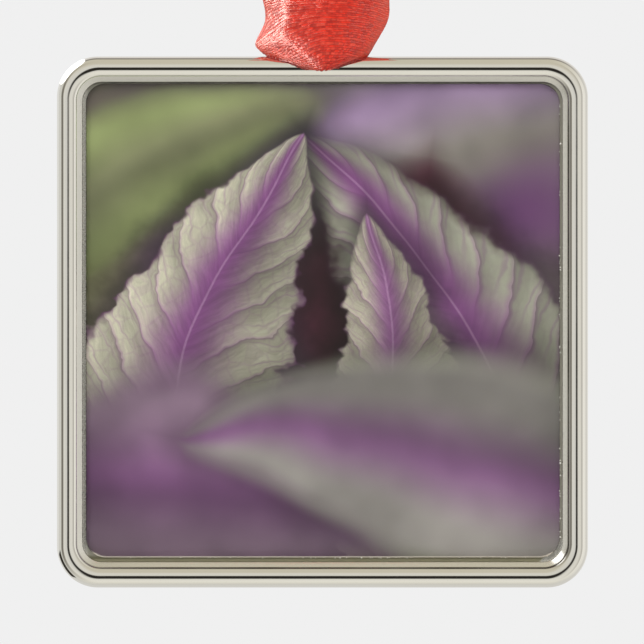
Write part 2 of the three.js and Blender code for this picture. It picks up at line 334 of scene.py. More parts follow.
def tent_colour(g, direction):
    """The studio's colour in a direction: four walls' bands, blended by the way round the line of sight."""
    x, y, z = g.separate(direction)
    from_camera = g.math("DEGREES", g.math("ARCCOSINE", y * -1.0))
    across = g.vector("NORMALIZE", g.combine(x, 0.0, z))
    total = None
    for (side_x, side_z), bands in TENT_WALLS:
        facing = g.math("MAXIMUM", g.vector("DOT_PRODUCT", across, (side_x, 0, side_z)), 0.0)
        colour = g.ramp(from_camera / 180.0, [(angle / 180, linear(*rgb)) for angle, *rgb in bands])
        part = g.scaled(colour, facing * facing)
        total = part if total is None else g.vector("ADD", total, part)
    right, _, up = g.separate(g.scaled(across, from_camera))
    for middle, half, turned, full, none, rgb in TENT_DARKS:
        cos, sin = math.cos(math.radians(turned)), math.sin(math.radians(turned))
        offset = g.vector("SUBTRACT", g.combine(right, up), (*middle, 0))
        along = abs(g.vector("DOT_PRODUCT", offset, (cos, sin, 0)))
        beside = abs(g.vector("DOT_PRODUCT", offset, (-sin, cos, 0)))
        outside = g.vector("SUBTRACT", g.combine(along, beside), (*half, 0))
        distance = g.vector("LENGTH", g.vector("MAXIMUM", outside, (0, 0, 0)))
        total = g.mix(g.smooth(distance, none, full), total, linear(*rgb))
    upper_left = (-math.sqrt(0.5), 0, math.sqrt(0.5))
    turned = g.math("DEGREES", g.math("ARCCOSINE", g.vector("DOT_PRODUCT", across, upper_left)))
    reach = abs((from_camera - WINDOW_ANGLE) / WINDOW_HALF) ** 3.0 + (turned / WINDOW_HALF_TURN) ** 3.0
    return g.mix(g.smooth(reach, *WINDOW_EDGE), total, WINDOW_LIGHT)


def make_world():
    world = bpy.data.worlds.new("studio")
    SCENE.world = world
    world.use_nodes = True
    world.node_tree.nodes.clear()
    g = Graph(world.node_tree)
    direction = g.get("TexCoord", output="Generated")
    tent = g.get("Background", {"Color": tent_colour(g, direction)})
    backdrop = g.get("Background", {"Color": (*BACKDROP, 1)})
    seen = g.get("LightPath", output="Is Camera Ray")
    g.node("OutputWorld", {"Surface": g.mix_shaders(seen, tent, backdrop)})


def make_floor():
    """A pale round floor whose edge fades into the backdrop."""
    verts = [(0, 0, FLOOR_Z)]
    for ring in range(1, FLOOR_RINGS + 1):
        radius = FLOOR_RADIUS * ring / FLOOR_RINGS
        for i in range(FLOOR_STEPS):
            angle = 2 * math.pi * i / FLOOR_STEPS
            verts.append((radius * math.cos(angle), radius * math.sin(angle), FLOOR_Z))
    faces = [(0, 1 + i, 1 + (i + 1) % FLOOR_STEPS) for i in range(FLOOR_STEPS)]
    faces += ring_faces(FLOOR_RINGS, FLOOR_STEPS, first=1)
    floor = mesh_object("floor", verts, faces)
    material, g = new_material("floor")
    place = g.place()
    x, y, _ = g.separate(place)
    away = g.vector("LENGTH", g.combine(x, y))
    colour = g.mix(g.noise(place, 6.0, 3.0), (0.80, 0.80, 0.80, 1), (0.84, 0.84, 0.84, 1))
    fade = g.smooth(away, 0.5 * FLOOR_RADIUS, 0.98 * FLOOR_RADIUS, 1.0, 0.0)
    finish_material(g, principled(g, Base_Color=colour, Roughness=0.9, Alpha=fade))
    floor.data.materials.append(material)
    floor.visible_glossy = False


def area_light(name, place, target, size, power):
    """A rectangular lamp, itself unseen and not mirrored."""
    data = bpy.data.lights.new(name, "AREA")
    data.shape = "RECTANGLE"
    data.size, data.size_y = size
    data.energy = power
    light = bpy.data.objects.new(name, data)
    light.location = place
    light.rotation_mode = "QUATERNION"
    aim = np.array(target) - np.array(place)
    light.rotation_quaternion = mathutils.Vector(aim).to_track_quat("-Z", "Y")
    light.visible_glossy = False
    light.visible_camera = False
    SCENE.collection.objects.link(light)
    return light


def light_satin():
    lit_cloth = bpy.data.collections.new("lit_cloth")
    for name in ("ribbon_cloth", "ribbon_knot"):
        lit_cloth.objects.link(bpy.data.objects[name])
    for number, (place, size, power) in enumerate(SATIN_LIGHTS):
        light = area_light(f"satin_{number}", place, (0, 0, SLOT_Z), size, power)
        light.data.color = SATIN_LIGHT_COLOUR
        light.visible_glossy = True
        light.visible_diffuse = False
        light.light_linking.receiver_collection = lit_cloth


# ---- Mesh helpers ----

def mesh_object(name, verts, faces):
    """A smooth-shaded object of these points and faces."""
    mesh = bpy.data.meshes.new(name)
    mesh.from_pydata([tuple(map(float, v)) for v in verts], [], faces)
    mesh.update()
    mesh.validate()
    mesh.polygons.foreach_set("use_smooth", [True] * len(mesh.polygons))
    piece = bpy.data.objects.new(name, mesh)
    SCENE.collection.objects.link(piece)
    return piece


def ring_faces(rings, length, first=0):
    """Quads between closed rings of this many points each, numbered one ring after another from first."""
    faces = []
    for ring in range(rings - 1):
        start = first + ring * length
        for i in range(length):
            a, b = start + i, start + (i + 1) % length
            faces.append((a, a + length, b + length, b))
    return faces


def applied(piece):
    """Bakes the piece's modifiers into its mesh."""
    graph = bpy.context.evaluated_depsgraph_get()
    mesh = bpy.data.meshes.new_from_object(piece.evaluated_get(graph))
    piece.modifiers.clear()
    piece.data = mesh


def square_ring(inset, y, chords):
    """A rounded square this far inside the frame's outer edge, as points that run anticlockwise in x and z."""
    half = HALF_SIDE - inset
    shrink = min(inset / RIM_WIDTH, 1)
    radius = OUTER_CORNER_RADIUS + (WINDOW_CORNER_RADIUS - OUTER_CORNER_RADIUS) * shrink
    corner = half - radius
    points = []
    for quarter, (sign_x, sign_z) in enumerate([(1, 1), (-1, 1), (-1, -1), (1, -1)]):
        for i in range(chords + 1):
            angle = (quarter + i / chords) * math.pi / 2
            x = sign_x * corner + radius * math.cos(angle)
            z = sign_z * corner + radius * math.sin(angle)
            points.append((x, y, MIDDLE_Z + z))
    return points


def square_loft(name, profile, chords, shift=(0, 0)):
    """A closed solid of rounded squares, from a profile of (inset, y) that runs from the back to the front.

    The attribute rim holds the number of each point's profile point.
    """
    rings = [square_ring(inset, y, chords) for inset, y in profile]
    length = len(rings[0])
    verts = [(x + shift[0], y, z + shift[1]) for ring in rings for x, y, z in ring]
    faces = [tuple(range(length)), tuple(reversed(range((len(rings) - 1) * length, len(rings) * length)))]
    piece = mesh_object(name, verts, faces + ring_faces(len(rings), length))
    layer = piece.data.attributes.new("rim", "FLOAT", "POINT")
    layer.data.foreach_set("value", np.repeat(np.arange(len(rings), dtype=np.float32), length))
    return piece


def rounded_corners(points, radius, steps):
    """The polyline with each inner corner replaced by an arc, and a point close beside each arc's ends."""
    points = [np.array(p, float) for p in points]
    made = [points[0]]
    for before, corner, after in zip(points, points[1:], points[2:]):
        back, ahead = before - corner, after - corner
        back_length, ahead_length = np.linalg.norm(back), np.linalg.norm(ahead)
        back, ahead = back / back_length, ahead / ahead_length
        turn = math.pi - math.acos(np.clip(back @ ahead, -1, 1))
        cut = min(radius * math.tan(turn / 2), 0.45 * back_length, 0.45 * ahead_length)
        start, end = corner + back * cut, corner + ahead * cut
        made.append(corner + back * min(cut * 1.25, 0.49 * back_length))
        for i in range(steps + 1):
            t = i / steps
            made.append((1 - t) ** 2 * start + 2 * t * (1 - t) * corner + t ** 2 * end)
        made.append(corner + ahead * min(cut * 1.25, 0.49 * ahead_length))
    made.append(points[-1])
    return [tuple(p) for p in made]


# ---- Metal frame ----

def frame_profile():
    """(inset, y) points in three parts: from the flat back round the side to the bead's step, over the lip and
    down its wall, and the recess floor's edge."""
    outer = [(BACK_ROUND_WIDTH + BACK_SUPPORT, BACK_Y)]
    for i in range(BACK_STEPS + 1):
        angle = i / BACK_STEPS * math.pi / 2
        inset = BACK_ROUND_WIDTH * (1 - math.sin(angle))
        outer.append((inset, BACK_Y - BACK_ROUND_DEPTH * (1 - math.cos(angle))))
    bead_end = math.asin((BEAD_WIDTH - BEAD_RADIUS) / BEAD_RADIUS)
    for i in range(BEAD_STEPS + 1):
        angle = -math.pi / 2 + (bead_end + math.pi / 2) * i / BEAD_STEPS
        inset = BEAD_RADIUS * (1 + math.sin(angle))
        outer.append((inset, FRONT_Y + BEAD_RADIUS * (1 - math.cos(angle))))
    step_y = outer[-1][1] + STEP_DROP
    lip_width = RIM_WIDTH - BEAD_WIDTH - STEP_SLANT
    lip = []
    for i in range(LIP_STEPS + 1):
        t = i / LIP_STEPS
        fall = (1 - LIP_CURVE) * t + LIP_CURVE * t * t
        lip.append((BEAD_WIDTH + STEP_SLANT + lip_width * t, step_y + LIP_DROP * fall))
    step = rounded_corners([outer.pop(), lip[0], lip[1]], STEP_ROUND, 3)[:-1]
    foot = (RIM_WIDTH, RECESS_Y)
    wall = rounded_corners([lip[-2], lip[-1], foot], LIP_ROUND, 5)[1:-1]
    floor = rounded_corners([wall[-1], foot, (RIM_WIDTH + RECESS_REACH, RECESS_Y)], RECESS_ROUND, 4)[1:]
    return outer + step, lip[1:-1] + wall, floor


def slot_cutter():
    """A long stadium prism through the rim from front to back."""
    end = SLOT_HEIGHT / 2
    reach = SLOT_WIDTH / 2 - end
    steps = 20
    outline = []
    for side, start in ((1, -math.pi / 2), (-1, math.pi / 2)):
        for i in range(steps + 1):
            angle = start + math.pi * i / steps
            outline.append((side * reach + end * math.cos(angle), SLOT_Z + end * math.sin(angle)))
    count = len(outline)
    verts = [(x, y, z) for y in (2 * FRONT_Y, 2 * BACK_Y) for x, z in outline]
    faces = [tuple(reversed(range(count))), tuple(range(count, 2 * count))]
    faces += [(i, (i + 1) % count, count + (i + 1) % count, count + i) for i in range(count)]
    return mesh_object("slot_cutter", verts, faces)


STEP_POINTS = 6  # profile points on the step between the bead and the lip
PLATING = ((0.955, 0.945, 0.92, 1), (0.985, 0.98, 0.965, 1))
# The lip's plating, painted darker at the upper left and lighter at the lower right as painted light
LIP_PLATING_SHADE_TO_LIGHT = ((0.76, 0.755, 0.73, 1), (0.95, 0.935, 0.90, 1))
# Painted shade for the step above the lip, at the right and the bottom
PAINTED_STEP_SHADE = (0.07, 0.06, 0.04, 1)
PLAIN_GLUE = (0.70, 0.69, 0.64, 1)
# Painted light at the left and as a glint in the lower right corner, and painted shade along the bottom
PAINTED_RECESS_LIGHT = (0.98, 0.975, 0.95, 1)
PAINTED_RECESS_SHADES = ((0.36, 0.35, 0.25, 1), (0.62, 0.60, 0.46, 1))
# Where the recess's painted light, glint and shade change, in millimetres right of the frame's middle, above
# it, or right plus down
BRIGHT_LEFT = (-30.8, -31.3)
BRIGHT_CORNER = (60.0, 60.5)
LOW_START = (-30.6, -31.2)
LOW_SHADE_LIGHTER = (-31.15, -31.4)


def plated_metal(lip_start, recess_start):
    """Mirror plating on the beads and the back, satin on the lip, and dull metal in the recess.

    Painted shade darkens the step above the lip at the right and the bottom, and the lip is painted lighter
    towards the lower right. The recess has painted shade at the bottom, painted light at the left and a
    painted glint in the lower right corner.
    """
    def change(value, limits):
        return g.smooth(value, limits[0] * MM, limits[1] * MM)

    material, g = new_material("plated_metal")
    place = g.place()
    rim = g.attribute("rim", "Fac")
    lip = g.smooth(rim, lip_start - 0.5, lip_start + 0.5)
    recess = g.smooth(rim, recess_start - 0.5, recess_start + 0.5)
    cloudy = g.noise(place, 90.0, 3.0)
    x, _, z = g.separate(place)
    up = z - MIDDLE_Z
    lower_right = change(x - up, (-12, 12))
    # Painted light: the lip is darker at the upper left and lighter towards the lower right
    colour = g.mix(lip, g.mix(cloudy, *PLATING), g.mix(lower_right, *LIP_PLATING_SHADE_TO_LIGHT))
    # Painted shade: a dark line along the step above the lip, at the right and the bottom, patchy with the
    # clouding
    off_step = abs(rim - (lip_start - STEP_POINTS / 2))
    step_shade = g.smooth(off_step, STEP_POINTS / 2 + 2.5, STEP_POINTS / 2 + 0.5)
    step_shade = step_shade * lower_right * g.smooth(cloudy, 0.2, 0.7, 0.95, 0.75)
    colour = g.mix(step_shade, colour, PAINTED_STEP_SHADE)
    # Painted light in the recess: bright at the left and a painted glint in the lower right corner; painted
    # shade, dark olive, along the bottom, a little lighter at the very edge
    corner = change(x - up, BRIGHT_CORNER)
    bright = g.math("MAXIMUM", change(x, BRIGHT_LEFT), corner)
    low = change(up, LOW_START) * (1.0 - corner)
    recess_light_and_shade = g.mix(bright, PLAIN_GLUE, PAINTED_RECESS_LIGHT)
    recess_light_and_shade = g.mix(low, recess_light_and_shade, g.mix(change(up, LOW_SHADE_LIGHTER), *PAINTED_RECESS_SHADES))
    colour = g.mix(recess, colour, recess_light_and_shade)
    roughness = g.smooth(g.noise(place, 2600.0), 0.3, 0.8, 0.045, 0.10)
    roughness = lip.times_plus(0.14, roughness)
    roughness = recess.times_plus(bright.times_plus(-0.24, 0.30), roughness)
    normal = g.bump(g.noise(place, 160.0, 1.0), 0.02 * MM)
    normal = g.bump(g.noise(place, 1500.0), 0.0012 * MM, normal)
    finish_material(g, principled(g, Base_Color=colour, Metallic=1.0, Roughness=roughness, Normal=normal))
    return material


def make_frame():
    outer, lip, floor = frame_profile()
    piece = square_loft("frame_plated", outer + lip + floor, CORNER_CHORDS)
    cutter = slot_cutter()
    cut = piece.modifiers.new("slot", "BOOLEAN")
    cut.object = cutter
    cut.operation = "DIFFERENCE"
    cut.solver = "EXACT"
    applied(piece)
    bpy.data.objects.remove(cutter)
    piece.data.set_sharp_from_angle(angle=math.radians(38))
    piece.data.materials.clear()
    piece.data.materials.append(plated_metal(len(outer) - 1, len(outer) + len(lip) - 1))
    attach(piece, "root")
    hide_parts("frame")


# ---- Print ----

LEAF_COLOURS = ["Under", "Body", "Heart", "Margin"]
LEAF_NUMBERS = ["X", "Y", "Base X", "Base Y", "Angle", "Length", "Half Width", "Bend", "Blur", "Shadow"]


def leaf_group(fine):
    """A node group that lays one leaf over a colour, in focus with its veins or as a soft shape.

    Its places and lengths are millimetres.
    """
    tree = bpy.data.node_groups.new("printed_leaf", "ShaderNodeTree")
    for names, kind in ((LEAF_COLOURS, "NodeSocketColor"), (LEAF_NUMBERS, "NodeSocketFloat")):
        for name in names:
            tree.interface.new_socket(name, in_out="INPUT", socket_type=kind)
    tree.interface.new_socket("Colour", in_out="OUTPUT", socket_type="NodeSocketColor")
    g = Graph(tree)
    given = g.outputs("NodeGroupInput")
    length, blur = given["Length"], given["Blur"]
    dx, dy = given["X"] - given["Base X"], given["Y"] - given["Base Y"]
    cos, sin = g.math("COSINE", given["Angle"]), g.math("SINE", given["Angle"])
    along = (dx * cos + dy * sin) / length
    across = (dy * cos - dx * sin) / length
    place = g.combine(along, across, given["Angle"])
    cloudy = g.noise(place, 5.0)
    sway = (g.noise(place, 3.0, 1.0) - 0.5) * 0.09
    inside = g.math("MINIMUM", g.math("MAXIMUM", along, 0.0), 1.0)
    arch = inside * (1.0 - inside) * 4.0
    across = across + sway - given["Bend"] * arch
    outline = g.math("SINE", inside ** 0.8 * math.pi)
    outline = g.math("MAXIMUM", outline, 0.0) ** 0.75
    if fine:
        outline = outline * g.noise(place, 11.0, 3.0, 0.6).times_plus(0.7, 0.65)
    half = outline * (given["Half Width"] / length)
    off_axis = abs(across)
    edge = (half - off_axis - abs(along - inside)) * length
    toothed = edge
    if fine:
        teeth = g.math("PINGPONG", cloudy.times_plus(4.0, inside * 26.0), 0.5)
        toothed = edge - teeth * g.smooth(blur, 0.4, 2.0, 1.9, 0.6) * outline
    mask = g.smooth(toothed, blur * -1.0, blur)
    softened = (blur / length).times_plus(0.7, half)
    fraction = g.math("MINIMUM", off_axis / softened, 1.0)
    body = g.mix(g.smooth(fraction, 0.0, 0.6), given["Heart"], given["Body"])
    tone = cloudy.times_plus(0.9, 0.55)
    tone = tone * g.smooth(across, -0.04, 0.04, 0.80, 1.12)
    tone = tone * g.smooth(inside, 0.0, 0.5, 0.62, 1.0)
    if fine:
        body, tone = leaf_veins(g, given, place, inside, across, fraction, body, tone)
    body = g.mix(g.smooth(fraction, 0.86 if fine else 0.7, 0.99), g.scaled(body, tone), given["Margin"])
    shadow = g.smooth(edge, blur.times_plus(-1.0, -5.0), blur, 1.0, given["Shadow"])
    g.node("NodeGroupOutput", {"Colour": g.mix(mask, g.scaled(given["Under"], shadow), body)})
    return tree


def leaf_veins(g, given, place, inside, across, fraction, body, tone):
    """Side veins that sweep towards the tip, quilted relief and fine fibres between them, and the midrib."""
    def vein(lane):
        return g.smooth(abs(g.math("FRACT", lane) - 0.5), 0.0, spread, 1.0, 0.0)

    spread = given["Blur"].times_plus(0.07, 0.075)
    wobble = (g.noise(place, 7.0) - 0.5) * 0.9
    side = g.math("GREATER_THAN", across, 0.0) * 0.43
    lane = (inside - fraction * 0.17) * 13.0 + wobble + side
    veins = vein(lane) * g.smooth(fraction, 0.6, 1.0, 1.0, 0.3)
    forks = vein(lane.times_plus(2.0, fraction * 1.3)) * g.smooth(fraction, 0.3, 0.7, 0.0, 0.7)
    cells = g.get("TexVoronoi", {"Vector": place, "Scale": 34}, "Distance", feature="DISTANCE_TO_EDGE")
    crisp = g.smooth(given["Blur"], 0.4, 2.0, 1.0, 0.25)
    net = g.smooth(cells, 0.0, 0.12, 1.0, 0.0) * 0.34 * crisp
    lines = g.math("MAXIMUM", g.math("MAXIMUM", veins, forks), net)
    quilt = (0.5 - g.math("FRACT", lane + 0.5)) * g.smooth(fraction, 0.05, 0.5, 0.05, 0.42)
    fibres = g.noise(g.combine(lane * 3.0, fraction * 1.6, side), 2.2, 4.0, 0.65) - 0.5
    tone = tone * (fibres * crisp).times_plus(0.7, 1.0) * (quilt + 1.0)
    body = g.mix(lines * 0.45, body, given["Heart"])
    off_rib = abs(across) * given["Length"]
    body = g.mix(g.smooth(off_rib, 0.10, 0.55, 1.0, 0.0) * 0.8, body, given["Heart"])
    body = g.mix(g.smooth(off_rib, 0.05, 0.22, 1.0, 0.0) * 0.35, body, linear(190, 164, 188))
    return body, tone


SAGE = (156, 158, 144)
CREAM = (166, 166, 150)
DUSK = (112, 104, 108)
PLUM = (98, 62, 98)
DEEP = (84, 42, 60)
MAGENTA = (132, 88, 134)
LILAC = (148, 130, 156)
MAUVE = (128, 112, 128)
LIME = (136, 146, 104)

# From the far leaves to the near ones: in focus or not, base point, angle, length, half width, bend, blur, how
# much light its shadow lets through, and the colours of its body, heart and margin
PRINTED_LEAVES = [
    (False, (-36, 42), -34, 70, 13, 0.10, 7.0, 0.80, (134, 126, 128), (140, 120, 142), DUSK),
    (False, (44, 34), 196, 58, 12, -0.08, 6.0, 0.75, (138, 136, 128), LILAC, MAUVE),
    (False, (-44, 4), 30, 50, 9, 0.08, 3.5, 0.60, LIME, (124, 128, 100), (118, 108, 106)),
    (False, (8, -14), 80, 36, 16, 0.00, 5.0, 0.85, DEEP, DEEP, (92, 56, 84)),
    (True, (36, -42), 120, 76, 13, -0.07, 1.6, 0.45, SAGE, MAGENTA, PLUM),
    (True, (-24, -42), 72, 70, 14, 0.08, 0.35, 0.40, CREAM, MAGENTA, PLUM),
    (True, (8, -38), 92, 52, 9, -0.06, 0.45, 0.35, (162, 160, 146), (138, 100, 138), PLUM),
    (False, (-44, -22), -8, 56, 13, 0.08, 4.0, 0.60, (136, 118, 134), (118, 86, 120), (146, 142, 140)),
    (False, (46, -32), 166, 66, 14, -0.10, 2.6, 0.45, (142, 140, 136), (128, 98, 130), (158, 162, 148)),
]
PRINT_GAMMA = 1.25
PRINT_GAIN = (1.50, 1.45, 1.54)
BARE_SHEET = (0.75, 0.75, 0.73, 1)


def printed_sheet():
    """A soft-focus picture of pointed variegated leaves, printed on the panel's front."""
    material, g = new_material("printed_sheet")
    middle = ((panel_low[0] + panel_high[0]) / 2, 0, (panel_low[2] + panel_high[2]) / 2)
    flat = g.scaled(g.vector("SUBTRACT", g.place(), middle), 1 / MM)
    x, _, y = g.separate(flat)
    where = g.combine(x, y)
    clouds = g.get("TexNoise", {"Vector": where, "Scale": 0.034, "Detail": 1.0}, "Color")
    first, second, third = g.separate(clouds)
    colour = g.mix(g.smooth(first, 0.35, 0.65), linear(112, 104, 104), linear(134, 114, 132))
    colour = g.mix(g.smooth(second, 0.48, 0.70), colour, linear(112, 74, 118))
    colour = g.mix(g.smooth(third, 0.50, 0.72), colour, linear(130, 134, 96))
    groups = {fine: leaf_group(fine) for fine in (True, False)}
    for fine, base, angle, length, half, bend, blur, shadow, *colours in PRINTED_LEAVES:
        numbers = (x, y, *base, math.radians(angle), length, half, bend, blur, shadow)
        given = dict(zip(LEAF_NUMBERS + LEAF_COLOURS, (*numbers, colour, *(linear(*rgb) for rgb in colours))))
        colour = g.get("Group", given, node_tree=groups[fine])
    colour = g.get("Gamma", {"Color": colour, "Gamma": PRINT_GAMMA})
    ink = g.noise(where, 9.0)
    colour = g.scaled(g.vector("MULTIPLY", colour, PRINT_GAIN), ink.times_plus(0.12, 0.94))
    _, normal_y, _ = g.separate(g.get("NewGeometry", output="True Normal"))
    colour = g.mix(g.math("LESS_THAN", normal_y, -0.5), BARE_SHEET, colour)
    finish_material(g, principled(g, Base_Color=colour, Roughness=0.55))
    return material


# ---- Clear cover ----

# The side's frosting: dark as painted shade, pale as a painted highlight along the bottom
FROST_HIGHLIGHT_AND_SHADE = ((0.10, 0.095, 0.085, 1), (0.72, 0.67, 0.60, 1))
COVER_SIDE_END = 3  # the profile point where the cover's flat side has ended
COVER_ROUND_STEPS = 10
COVER_CHORDS = 24  # in each of its corners


def clear_resin(side_end):
    """Clear resin, with frosting on its side up to this profile point: a painted highlight at the bottom and
    painted shade elsewhere.
    """
    material, g = new_material("clear_cover")
    place = g.place()
    normal = g.bump(g.noise(place, 70.0, 1.0), 0.01 * MM)
    clear = g.get("BsdfTransparent", {"Color": (0.985, 0.99, 0.985, 1)})
    gloss = g.get("BsdfGlossy", {"Roughness": 0.03, "Normal": normal})
    fresnel = g.get("Fresnel", {"IOR": 1.5, "Normal": normal})
    outside = 1.0 - g.get("NewGeometry", output="Backfacing")
    resin = g.mix_shaders(fresnel * outside, clear, gloss)
    rim = g.attribute("rim", "Fac")
    x, _, z = g.separate(place)
    low = g.smooth(z, cover_low[2] + 1.0 * MM, cover_low[2] + 0.5 * MM)
    right = g.smooth(x, cover_high[0] - 1.0 * MM, cover_high[0] - 0.5 * MM)
    patchy = g.smooth(g.noise(place, 900.0), 0.3, 0.7, 0.55, 0.95)
    patchy = patchy * right.times_plus(-0.7, 1.0)
    reach = rim - low * 2.0
    beside = g.smooth(reach, side_end + 1, side_end + 5, 1.0, 0.0) * g.smooth(rim, 0.7, 1.0)
    # Painted highlight along the bottom, painted shade on the cover's other sides
    frost_highlight_and_shade = g.get("BsdfDiffuse", {"Color": g.mix(low, *FROST_HIGHLIGHT_AND_SHADE)})
    frosting_and_paint_mask = beside * g.math("MAXIMUM", patchy, low)
    finish_material(g, g.mix_shaders(frosting_and_paint_mask, resin, frost_highlight_and_shade))
    return material


BUBBLE_RADII = (0.05, 0.14)  # millimetres
BUBBLE_COUNTS = {"right": 64, "bottom": 50}
BUBBLE_DEPTHS = (0.2, 0.65)  # millimetres behind the cover's front


def make_bubbles():
    """Tiny beads of resin, half sunk in the cover's right and bottom sides, coloured near white as painted
    glints.
    """
    rng = np.random.default_rng(23)
    ball = bmesh.new()
    bmesh.ops.create_icosphere(ball, subdivisions=1, radius=1)
    unit = np.array([v.co[:] for v in ball.verts])
    corners = [[v.index for v in face.verts] for face in ball.faces]
    ball.free()
    corner = COVER_CORNER_RADIUS
    verts, faces = [], []
    for side, count in BUBBLE_COUNTS.items():
        for _ in range(count):
            radius = np.interp(rng.uniform(0, 1) ** 2, (0, 1), BUBBLE_RADII) * MM
            run, out = rng.uniform(0, 1), rng.uniform(-0.6, 0.7) * radius
            if side == "right":
                x = cover_high[0] + out
                z = cover_low[2] + corner + run ** 1.5 * (cover_high[2] - cover_low[2] - 2 * corner)
            else:
                x = cover_low[0] + corner + run * (cover_high[0] - cover_low[0] - 2 * corner)
                z = cover_low[2] - out
            y = cover_low[1] + rng.uniform(*BUBBLE_DEPTHS) * MM
            faces += [tuple(len(verts) + k for k in face) for face in corners]
            verts += [tuple(p * radius + (x, y, z)) for p in unit]
    piece = mesh_object("cover_bubbles", verts, faces)
    material, g = new_material("bubbles")
    # Painted glints: the beads are coloured near white
    colour = g.mix(g.noise(g.place(), 4000.0, 1.0), (0.86, 0.85, 0.80, 1), (1.0, 0.99, 0.96, 1))
    finish_material(g, principled(g, Base_Color=colour, Roughness=0.15))
    piece.data.materials.append(material)
    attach(piece, "root")


def make_cover():
    inset = HALF_SIDE - (cover_high[0] - cover_low[0]) / 2
    shift = ((cover_low[0] + cover_high[0]) / 2, (cover_low[2] + cover_high[2]) / 2 - MIDDLE_Z)
    back_y, front_y = cover_high[1] - COVER_GAP, cover_low[1]
    profile = [(inset + 0.2 * MM, back_y), (inset, back_y)]
    for i in range(COVER_ROUND_STEPS + 1):
        angle = i / COVER_ROUND_STEPS * math.pi / 2
        y = front_y + COVER_EDGE_ROUND * (1 - math.sin(angle))
        profile.append((inset + COVER_EDGE_ROUND * (1 - math.cos(angle)), y))
    profile.append((inset + 1.2 * COVER_EDGE_ROUND, front_y))
    piece = square_loft("cover_clear", profile, COVER_CHORDS, shift)
    piece.data.set_sharp_from_angle(angle=math.radians(60))
    piece.data.materials.append(clear_resin(COVER_SIDE_END))
    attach(piece, "root")
    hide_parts("clear_cover")


# ---- Ribbon ----

def catmull_rom(points, station):
    """Centripetal Catmull-Rom through the points, at a station number that may lie between two."""
    points = np.asarray(points, float)
    last = len(points) - 1
    lower = min(int(station), last - 1)
    weight = station - lower
    start, end = points[lower], points[lower + 1]
    before = points[lower - 1] if lower > 0 else 2 * start - end
    after = points[lower + 2] if lower + 2 <= last else 2 * end - start
    spans = ((before, start), (start, end), (end, after))
    first, gap, third = [max(np.linalg.norm(b - a) ** 0.5, 1e-4) for a, b in spans]
    slope_start = (start - before) / first - (end - before) / (first + gap) + (end - start) / gap
    slope_end = (end - start) / gap - (after - start) / (gap + third) + (after - end) / third
    slope_start, slope_end = slope_start * gap, slope_end * gap
    square = -3 * start + 3 * end - 2 * slope_start - slope_end
    cube = 2 * start - 2 * end + slope_start + slope_end
    return start + weight * (slope_start + weight * (square + weight * cube))


FINE_HEIGHT = 15  # millimetres above the slot, up to where the cloth has its finest rows
FINE_PITCH = 0.2
COARSE_PITCH = 0.7
RIBBON_COLUMNS = 73
PLEATS = 6
PLEAT_DEPTH = 0.40  # millimetres either way, where the cloth is bunched
SLOT_OPEN_CHORD = 4.5  # millimetres across, above which no pleats are left beside the slot
KNOT_OPEN_CHORD = 15  # the same, towards the knot
CLOTH_THICKNESS = 0.14 * MM
RIB_PITCH = 0.30  # millimetres, between the ribs that run across the cloth
RIB_HEIGHT = 0.062  # millimetres, valley to crest
FLOAT_LENGTH = 0.8  # millimetres, one floating thread
THREAD_LEAN = 0.20  # how far the threads' own directions scatter
RIB_SKEW = -0.35  # how steeply the ribs climb to the right, low on the front leg's left side
SKEW_END = 9  # millimetres above the slot, where they run level again
FLOAT_JITTER = 0.35  # of a thread's length, along each rib
# Long soft waves in the cloth: height in millimetres, turns across it, millimetres along it to a turn, phase
SOFT_WAVES = [(0.16, 1.15, 47, 0.6), (0.08, 2.3, -29, 2.0)]
LOOSE_LOOPS = 0.35  # how far the woven edges' small loops reach in, of the edge columns' spacing
LOOP_PAIR = 0.15  # how much further every second one does
THREAD_REDS = ((0.66, 0.016, 0.003, 1), (0.98, 0.032, 0.007, 1))
# Painted shade in the valleys between the ribs
PAINTED_VALLEY_SHADE = (0.38, 0.006, 0.002, 1)
BROAD_RED = (0.86, 0.030, 0.010, 1)
DARK_THREAD = (0.30, 0.006, 0.003, 1)
PALE_RIB = (0.95, 0.13, 0.075, 1)
# Painted sheen towards the cloth's edges
PAINTED_EDGE_SHEEN = (0.88, 0.12, 0.07, 1)
# Painted shade on the turned-under hem
PAINTED_HEM_SHADE = (0.34, 0.008, 0.004, 1)
THROUGH_RED = (0.90, 0.06, 0.03, 1)
TRANSLUCENCY = 0.2
# A crease down the front leg's left side, in halves of the cloth's chord and of its bulge
CREASE_ACROSS = -0.56
CREASE_JITTER = 0.008
CREASE_RISE = 0.9
CREASE_LOW = 0.65  # of that rise, beside the slot
CREASE_FULL = 4  # millimetres above the slot, from where it has all of that rise
CREASE_ROUND = 0.13
CREASE_FADE = (13, 24)  # millimetres above the slot
HEM_WIDTH = 0.12  # millimetres
HEM_TURN = (0, 0.4, -0.42)  # millimetres, where it is turned under
TURN_STARTS = (2.2, 2.8)  # between which stations that begins
TURN_ENDS = (4.9, 5.6)  # and where it ends
HEM_NEAR = 0.12  # of its width, where its nearer point lies
HEM_CLEARANCE = 0.1


def station_numbers():
    """Station numbers down one leg, close together where the cloth is seen near."""
    middle = [row[1] for row in RIBBON_STATIONS]
    numbers = [0.0]
    while numbers[-1] < len(middle) - 1:
        here = catmull_rom(middle, numbers[-1])
        pitch = FINE_PITCH if here[2] < FINE_HEIGHT else COARSE_PITCH
        small = 0.01
        speed = np.linalg.norm(catmull_rom(middle, min(numbers[-1] + small, len(middle) - 1)) - here) / small
        numbers.append(numbers[-1] + pitch / max(speed, 0.2))
    numbers[-1] = len(middle) - 1
    return numbers


